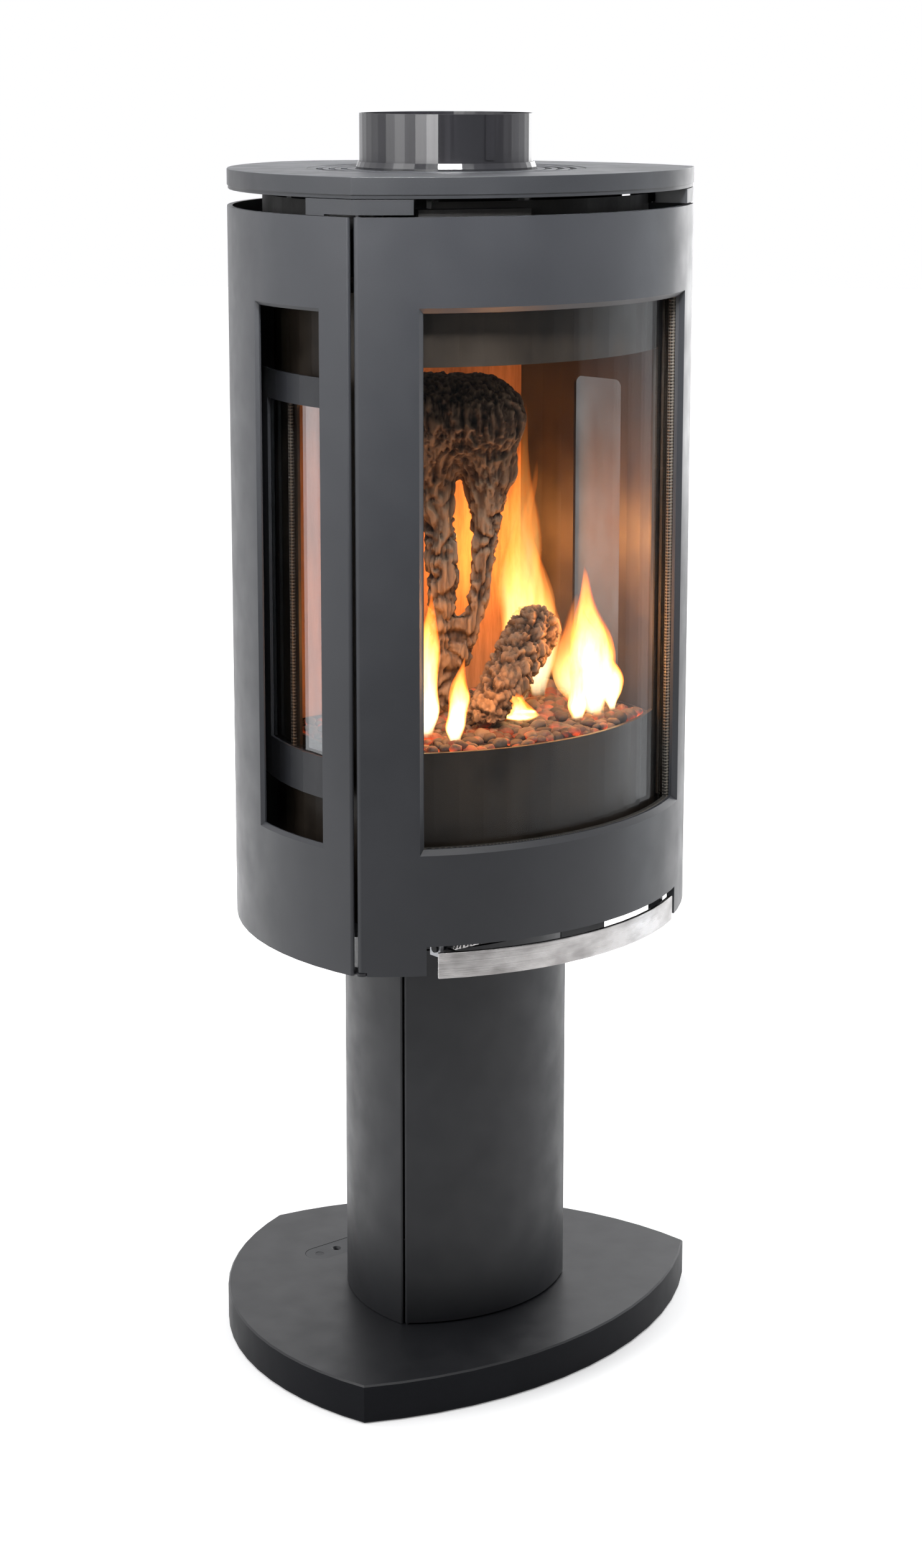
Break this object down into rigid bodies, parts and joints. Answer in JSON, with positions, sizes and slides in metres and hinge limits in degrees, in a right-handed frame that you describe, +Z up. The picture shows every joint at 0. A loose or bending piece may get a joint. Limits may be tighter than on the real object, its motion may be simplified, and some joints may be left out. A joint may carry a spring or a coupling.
{
  "type": "stove",
  "caption": "Free-standing stove with bowed walls, curved glazed door, side windows, log-effect fire, top flue and a slim pedestal on a flat base.",
  "frame": {"origin": "on the floor, on the vertical axis of the flue, at the middle of the base's underside", "axes": "+Z up along the flue, -Y out of the front wall, where the door is, and +X towards the door's free edge, on the right as one faces the door"},
  "size_m": [0.5001, 0.461, 1.234],
  "materials": {
    "body_enamel": "satin, fine-grained",
    "cast_enamel": "satin, fine-grained",
    "dark_enamel": "satin",
    "gloss_black": "semi-gloss",
    "stainless": "brushed along its length",
    "zinc_steel": "zinc plated",
    "brass": "plain",
    "heat_steel": "matt, heat-browned",
    "liner": "matt, lit by the fire",
    "glass": "clear",
    "rope": "braided glass fibre",
    "bark": "moulded bark",
    "ember": "loose granules",
    "black_plastic": "moulded",
    "red_plastic": "moulded"
  },
  "bodies": {
    "stove": {"base_plate": "cast_enamel", "base_inlet_cover": "cast_enamel", "top_plate": "cast_enamel", "grille_ring": "cast_enamel", "corner_spacer_left": "cast_enamel", "corner_spacer_right": "cast_enamel", "corner_spacer_back": "cast_enamel", "pedestal_post_left": "zinc_steel", "pedestal_post_right": "zinc_steel", "gas_valve": "zinc_steel", "burner_tube": "zinc_steel", "pilot_assembly": "zinc_steel", "base_cover_screw_left": "dark_enamel", "base_cover_screw_right": "dark_enamel", "lower_hinge_bracket": "dark_enamel", "latch_keeper": "dark_enamel", "pedestal_left_panel": "dark_enamel", "pedestal_right_panel": "dark_enamel", "pedestal_head_strip": "dark_enamel", "body_floor_plate": "dark_enamel", "body_ceiling_plate": "dark_enamel", "left_glass_frame": "dark_enamel", "right_glass_frame": "dark_enamel", "gas_supply_pipe": "brass", "burner_pipe": "brass", "left_side_panel": "body_enamel", "right_side_panel": "body_enamel", "rear_cover": "body_enamel", "flue_outer_pipe": "gloss_black", "flue_collar": "gloss_black", "flue_inner_pipe": "heat_steel", "firebox_shell": "heat_steel", "firebox_front_frame": "heat_steel", "burner_tray": "heat_steel", "firebox_back_liner": "liner", "left_glass": "glass", "right_glass": "glass", "left_glass_rope": "rope", "right_glass_rope": "rope", "forked_log": "bark", "short_log": "bark", "ember_bed": "ember"},
    "door": {"door_panel": "body_enamel", "hinge_pin_lower": "dark_enamel", "hinge_pin_upper": "dark_enamel", "door_inner_frame": "heat_steel", "window_rope": "rope", "door_glass": "glass", "glass_clamp_left": "heat_steel", "glass_clamp_right": "heat_steel", "door_rope": "rope", "handle_bracket_left": "zinc_steel", "handle_bracket_right": "zinc_steel", "handle_spring": "stainless"},
    "handle": {"handle_strip": "stainless", "handle_linkage": "dark_enamel"},
    "pedestal_cover": {"pedestal_front_cover": "dark_enamel"},
    "control_knob": {"control_knob": "black_plastic"},
    "flame_knob": {"flame_knob": "black_plastic"},
    "igniter_button": {"igniter_button": "red_plastic"}
  },
  "joints": [
    {"name": "door_swing", "type": "hinge", "parent": "stove", "child": "door", "pos_m": [-0.20703, -0.12475, 0.79], "axis": [0, 0, -1], "range_deg": [0, 100]},
    {"name": "handle_lift", "type": "hinge", "parent": "door", "child": "handle", "pos_m": [0, -0.158, 0.462], "axis": [-1, 0, 0], "range_deg": [0, 6], "stiffness_Nm_per_rad": 0.6, "springref_deg": -17.19},
    {"name": "pedestal_cover_swing", "type": "hinge", "parent": "stove", "child": "pedestal_cover", "pos_m": [-0.10321, -0.0631, 0.235], "axis": [0, 0, -1], "range_deg": [0, 95]},
    {"name": "control_turn", "type": "hinge", "parent": "stove", "child": "control_knob", "pos_m": [-0.032, -0.035, 0.3], "axis": [0, -1, 0], "range_deg": [0, 180]},
    {"name": "flame_turn", "type": "hinge", "parent": "stove", "child": "flame_knob", "pos_m": [0.032, -0.035, 0.3], "axis": [0, -1, 0], "range_deg": [0, 270]},
    {"name": "igniter_press", "type": "slide", "parent": "stove", "child": "igniter_button", "axis": [0, 1, 0], "range_m": [0, 0.004], "stiffness_N_per_m": 300}
  ]
}
